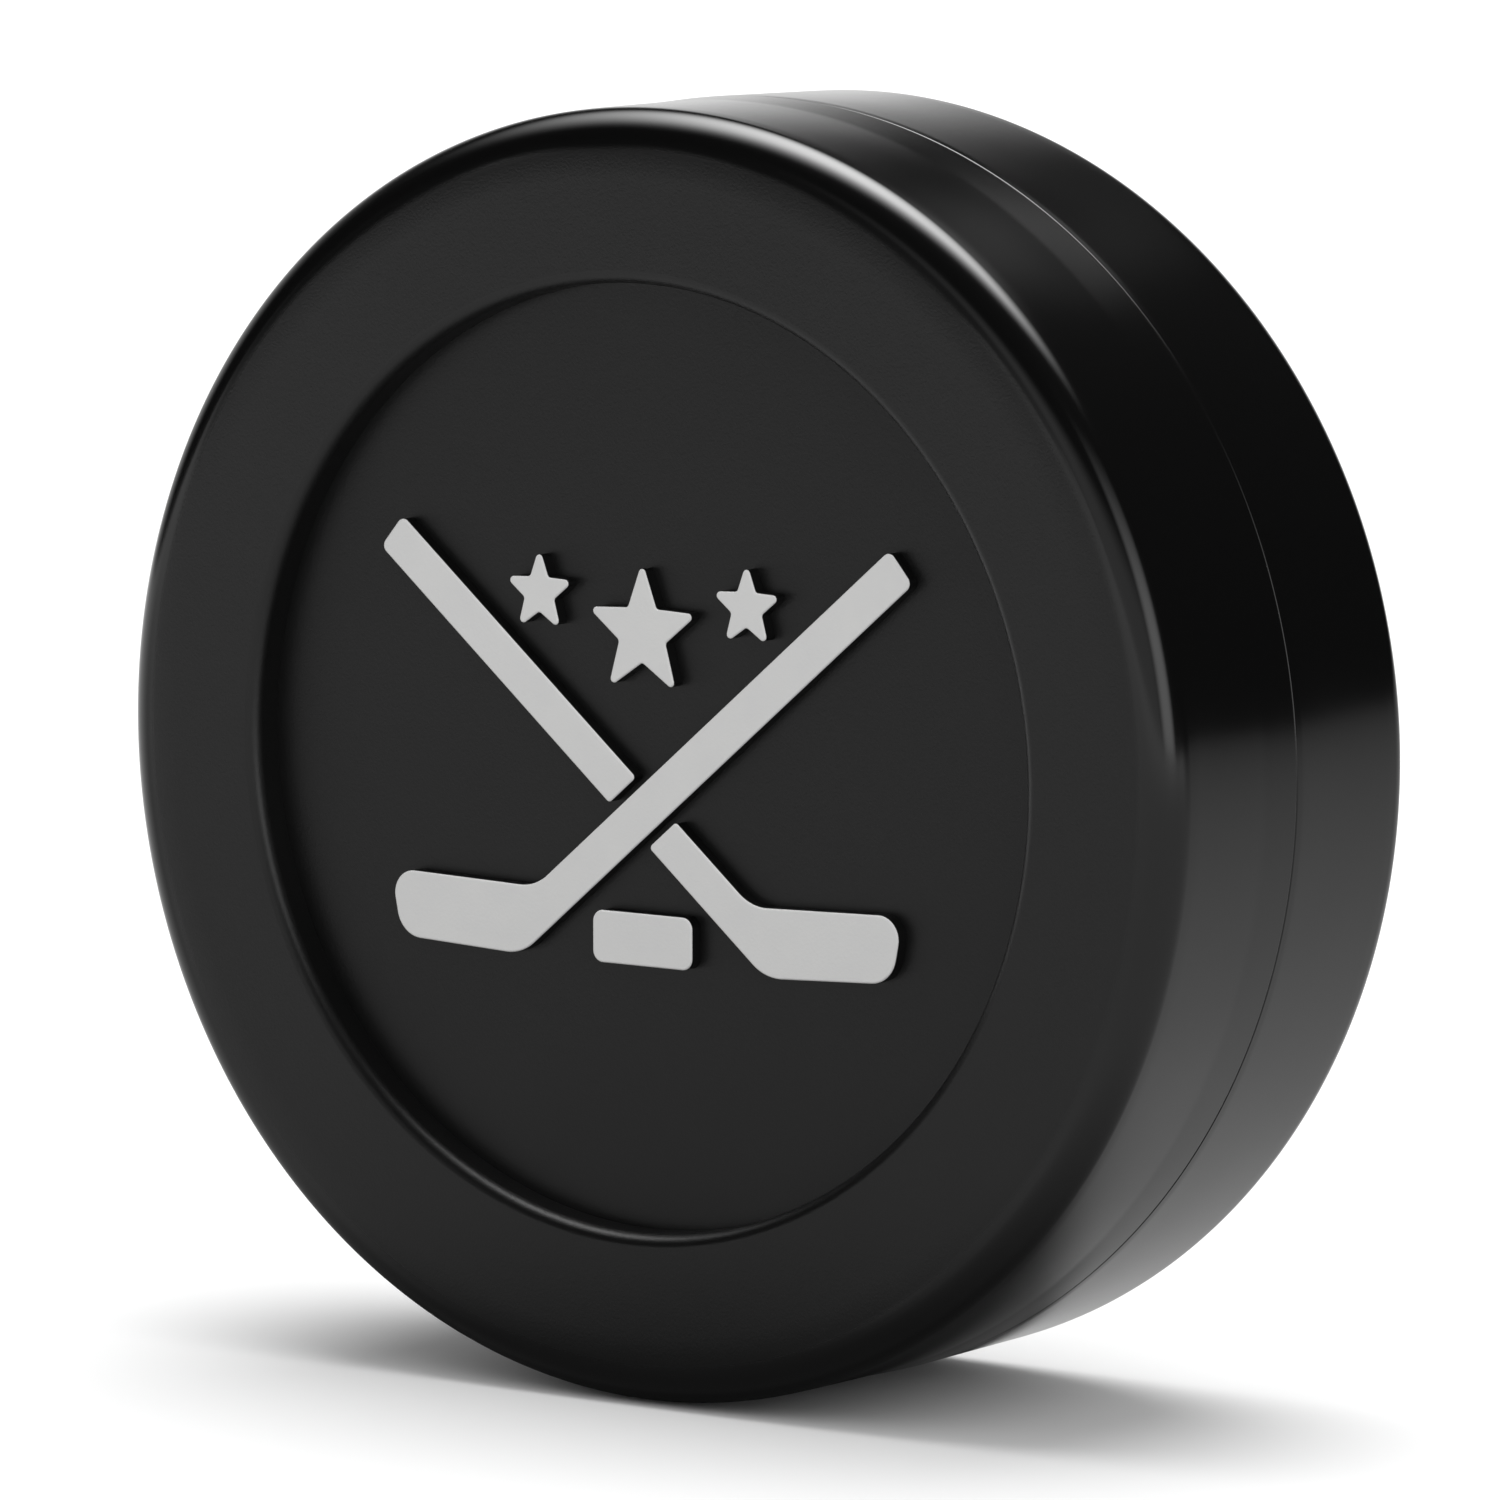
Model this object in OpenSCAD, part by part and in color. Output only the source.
// Weighted off-ice hockey puck: two moulded half shells that screw together over a stack of
// steel discs, which lie between two rubber pads.
// The puck stands on its rim: its axis lies along Y, its front face looks towards -Y,
// and the origin is the point of the seam that touches the ground.
// Each piece is drawn on its own axis first, with the seam at z = 0 and the front half at z > 0.

/* [Puck] */
// Diameter at the seam, where the puck is widest
puck_d = 76.2; // [70:0.1:90]
// Thickness over the two face rings
puck_t = 25.4; // [23:0.1:32]
// Draft of each side wall, from the seam towards its face
draft_deg = 0.8; // [0.3:0.1:2]
// Radius of the rounded rim between a side wall and its face ring
rim_r = 2.2; // [1.2:0.1:3]
// Bevel that breaks each shell's edge at the seam
seam_bevel = 0.2; // [0.1:0.05:0.4]

/* [Face recess] */
// Diameter of the round recess in each face
recess_d = 55.6; // [46:0.1:60]
// Depth of the recess below the face ring
recess_depth = 2.2; // [1:0.1:2.6]
// Fillet round the floor of the recess
recess_fillet = 0.1; // [0.1:0.05:1]
// Rounding of the edge where the ring drops into the recess
lip_r = 0.8; // [0.2:0.1:0.9]

/* [Shell walls] */
// Thickness of the faces
face_wall = 2.2; // [1.6:0.1:3]
// Thickness of the front shell's skirt, outside the thread
skirt_wall = 1.9; // [1.4:0.1:2.6]
// Inside fillet between a skirt or side wall and its face
inner_fillet = 0.8; // [0.5:0.1:1.5]
// Number of radial ribs in each shell
rib_count = 12; // [6:1:18]
// Thickness of a radial rib
rib_t = 1.3; // [0.8:0.1:2]
// Bevel on the free ends of the wells and pillars, and inside the skirt's mouth
end_bevel = 0.4; // [0.2:0.1:0.7]

/* [Screw closure] */
// Height of the rear shell's spigot above the seam
spigot_h = 9; // [6:0.1:9.5]
// Wall thickness of the spigot
spigot_wall = 1.9; // [1.4:0.1:2.6]
// Radial room for the thread between the spigot and the skirt
thread_room = 1.1; // [0.8:0.1:1.5]
// Lead-in chamfer at the spigot's free end
lead_in = 0.7; // [0.3:0.1:1]
// Clearance between the spigot and what the front shell carries near it
spigot_clear = 0.5; // [0.3:0.1:1]

/* [Seal] */
// Thickness of the seal ring's round section
seal_section = 1.6; // [1.2:0.1:2]
// Height of the seal's middle above the seam
seal_height = 1.6; // [1.4:0.1:2.5]
// Clearance between the seal and the skirt, and the seal and its groove
seal_clear = 0.15; // [0.1:0.05:0.3]

/* [Ballast] */
// Diameter of a ballast disc and of a pad
ballast_d = 50; // [40:0.5:54]
// Thickness of one ballast disc
ballast_t = 2; // [1.5:0.1:3.5]
// Bevel on the edges of a ballast disc
ballast_bevel = 0.3; // [0.1:0.1:0.6]
// Diameter of the pillars at the shells' middle
pillar_d = 9; // [6:0.5:14]
// Clearance of the discs and pads round the pillars and inside the wells
well_clear = 0.4; // [0.2:0.1:0.8]
// Wall thickness of the round well that holds the stack
well_wall = 1.6; // [1:0.1:2.5]
// Axial clearance where the front shell comes down on the stack and on the pillar
stack_clear = 0.2; // [0.1:0.05:0.4]

/* [Hidden] */
$fn = 120;

SHELL_BLACK = [0.07, 0.07, 0.075];
PAD_GREY = [0.18, 0.18, 0.19];
SEAL_BLACK = [0.03, 0.03, 0.03];
STEEL = [0.62, 0.63, 0.65];

DISC_COUNT = 3; // the stack has one node for each disc
OVERLAP = 0.4; // how far a rib runs into the wall that carries it

// Radii, from the outside in
puck_r = puck_d / 2;
bore_r = puck_r - skirt_wall;
spigot_r = bore_r - thread_room;
spigot_in_r = spigot_r - spigot_wall;
recess_r = recess_d / 2;
well_r = ballast_d / 2 + well_clear;
well_out_r = well_r + well_wall;
pillar_r = pillar_d / 2;

// Heights above the seam, the same for both halves
half_t = puck_t / 2;
recess_floor = half_t - recess_depth;
ring_ceiling = half_t - face_wall;
disc_ceiling = recess_floor - face_wall;

// The rounded rim is one arc, tangent to the drafted wall and to the face ring
rim_h = half_t - rim_r;
rim_centre_r = puck_r - (rim_h - seam_bevel) * tan(draft_deg) - rim_r / cos(draft_deg);
rim_foot = [rim_centre_r + rim_r * cos(draft_deg), rim_h + rim_r * sin(draft_deg)];

// The stack fills the space between the two shells' floors
stack_t = DISC_COUNT * ballast_t;
pad_t = (2 * disc_ceiling - stack_t - stack_clear) / 2;
stack_bottom = pad_t - disc_ceiling;
stack_top = stack_bottom + stack_t;

// Radial place of the seal in its groove round the spigot
seal_centre_r = bore_r - seal_clear - seal_section / 2;
groove_floor_r = seal_centre_r - seal_section / 2 - seal_clear / 3;
groove_half_w = seal_section / 2 + seal_clear;

// Stands a piece on its rim: its own +z becomes -Y, its +y becomes +Z
module stand() {
    translate([0, 0, puck_r])
        rotate([90, 0, 0])
            children();
}

// Turns a half over, so that its face looks to the rear
module to_rear() {
    mirror([0, 0, 1])
        children();
}

// Half section of one solid half: drafted side, rounded rim and beveled seam edge
module half_section() {
    polygon([
        [0, 0],
        [puck_r - seam_bevel, 0],
        [puck_r, seam_bevel],
        rim_foot,
        [rim_centre_r, half_t],
        [0, half_t]
    ]);
    translate([rim_centre_r, rim_h])
        circle(r = rim_r);
}

// Half section of the round recess, with its floor fillet and its rounded lip
module recess_section() {
    polygon([
        [0, recess_floor],
        [recess_r - recess_fillet, recess_floor],
        [recess_r, recess_floor + recess_fillet],
        [recess_r, half_t + 1],
        [0, half_t + 1]
    ]);
    translate([recess_r - recess_fillet, recess_floor + recess_fillet])
        circle(r = recess_fillet);
    difference() {
        translate([recess_r - lip_r, half_t - lip_r])
            square([2 * lip_r, 2 * lip_r]);
        translate([recess_r + lip_r, half_t - lip_r])
            circle(r = lip_r);
    }
}

// Radius at which the ceiling of a hollow of radius r steps down under the recess
function step_r(r) = min(recess_r + face_wall, r - inner_fillet);

// Half section of a half's hollow, of radius r at the seam. Its ceiling follows the recess,
// so that the face keeps one thickness all over.
module hollow_section(r) {
    polygon([
        [0, -1],
        [r, -1],
        [r, ring_ceiling - inner_fillet],
        [r - inner_fillet, ring_ceiling],
        [step_r(r), ring_ceiling],
        [step_r(r), disc_ceiling],
        [0, disc_ceiling]
    ]);
    translate([r - inner_fillet, ring_ceiling - inner_fillet])
        circle(r = inner_fillet);
}

// Half section of what stands on a face inside the hollow: the pillar, and the well's wall
module stack_holder_section(pillar_end, well_end) {
    root = disc_ceiling + OVERLAP;
    polygon([
        [0, root],
        [0, pillar_end],
        [pillar_r - end_bevel, pillar_end],
        [pillar_r, pillar_end + end_bevel],
        [pillar_r, root]
    ]);
    polygon([
        [well_r, root],
        [well_r, well_end + end_bevel],
        [well_r + end_bevel, well_end],
        [well_out_r - end_bevel, well_end],
        [well_out_r, well_end + end_bevel],
        [well_out_r, root]
    ]);
}

// Radial ribs under a ceiling, between the well and a wall of radius r.
// The given edge is the rib's free one, from the well's wall to the outer wall.
module ribs(r, free_edge) {
    root = [
        [r + OVERLAP, ring_ceiling + OVERLAP],
        [step_r(r), ring_ceiling + OVERLAP],
        [step_r(r) - OVERLAP, disc_ceiling + OVERLAP],
        [well_out_r - OVERLAP, disc_ceiling + OVERLAP]
    ];
    for (i = [0 : rib_count - 1])
        rotate([90, 0, 360 * i / rib_count])
            linear_extrude(height = rib_t, center = true)
                polygon(concat(free_edge, root));
}

module front_shell_section() {
    difference() {
        half_section();
        hollow_section(bore_r);
        polygon([
            [0, -1],
            [bore_r + end_bevel + 1, -1],
            [bore_r, end_bevel],
            [0, end_bevel]
        ]);
        recess_section();
    }
    stack_holder_section(stack_top - ballast_t / 2 + stack_clear, stack_top + stack_clear);
}

// The front half, with a plain skirt that takes the thread
module front_shell() {
    rib_foot = stack_top + 2 * stack_clear;
    rib_in_r = spigot_in_r - spigot_clear;
    rib_step = spigot_h + spigot_clear;
    color(SHELL_BLACK)
        stand() {
            rotate_extrude()
                front_shell_section();
            ribs(bore_r, [
                [well_out_r - OVERLAP, rib_foot],
                [rib_in_r - (rib_step - rib_foot) / 4, rib_foot],
                [rib_in_r, rib_step],
                [bore_r + OVERLAP, rib_step]
            ]);
        }
}

module rear_shell_section() {
    difference() {
        union() {
            half_section();
            polygon([
                [spigot_in_r - 1, 1],
                [spigot_in_r - 1, -spigot_h],
                [spigot_r - lead_in, -spigot_h],
                [spigot_r, lead_in - spigot_h],
                [spigot_r, 1]
            ]);
        }
        hollow_section(spigot_in_r);
        translate([0, -spigot_h - 1])
            square([spigot_in_r, spigot_h + 1]);
        translate([groove_floor_r, -seal_height - groove_half_w])
            square([thread_room + spigot_wall, 2 * groove_half_w]);
        recess_section();
    }
    stack_holder_section(ballast_t / 2 - stack_top, ballast_t / 2 - stack_top);
}

// The rear half, with the spigot that the front half screws on, and the deep well
module rear_shell() {
    color(SHELL_BLACK)
        stand()
            to_rear() {
                rotate_extrude()
                    rear_shell_section();
                ribs(spigot_in_r, [
                    [well_out_r - OVERLAP, -stack_bottom],
                    [spigot_in_r + OVERLAP, 0]
                ]);
            }
}

// Ring of round section in the groove round the spigot's foot
module seam_seal() {
    color(SEAL_BLACK)
        stand()
            rotate_extrude()
                translate([seal_centre_r, seal_height])
                    circle(d = seal_section, $fn = 48);
}

// Flat ring that fits inside the wells and round the pillars, with its lower face at z
module stack_ring(z, thickness, bevel) {
    inner_r = pillar_r + well_clear;
    outer_r = ballast_d / 2;
    stand()
        translate([0, 0, z])
            rotate_extrude()
                polygon([
                    [inner_r + bevel, 0],
                    [outer_r - bevel, 0],
                    [outer_r, bevel],
                    [outer_r, thickness - bevel],
                    [outer_r - bevel, thickness],
                    [inner_r + bevel, thickness],
                    [inner_r, thickness - bevel],
                    [inner_r, bevel]
                ]);
}

module rear_pad() {
    color(PAD_GREY)
        stack_ring(-disc_ceiling, pad_t, ballast_bevel);
}

module front_pad() {
    color(PAD_GREY)
        stack_ring(stack_top, pad_t, ballast_bevel);
}

// Steel disc, counted from the rear
module ballast_disc(place) {
    color(STEEL)
        stack_ring(stack_bottom + (place - 1) * ballast_t, ballast_t, ballast_bevel);
}

rear_shell();
front_shell();
seam_seal();
rear_pad();
front_pad();
ballast_disc(1);  // ballast_disc_1
ballast_disc(2);  // ballast_disc_2
ballast_disc(3);  // ballast_disc_3
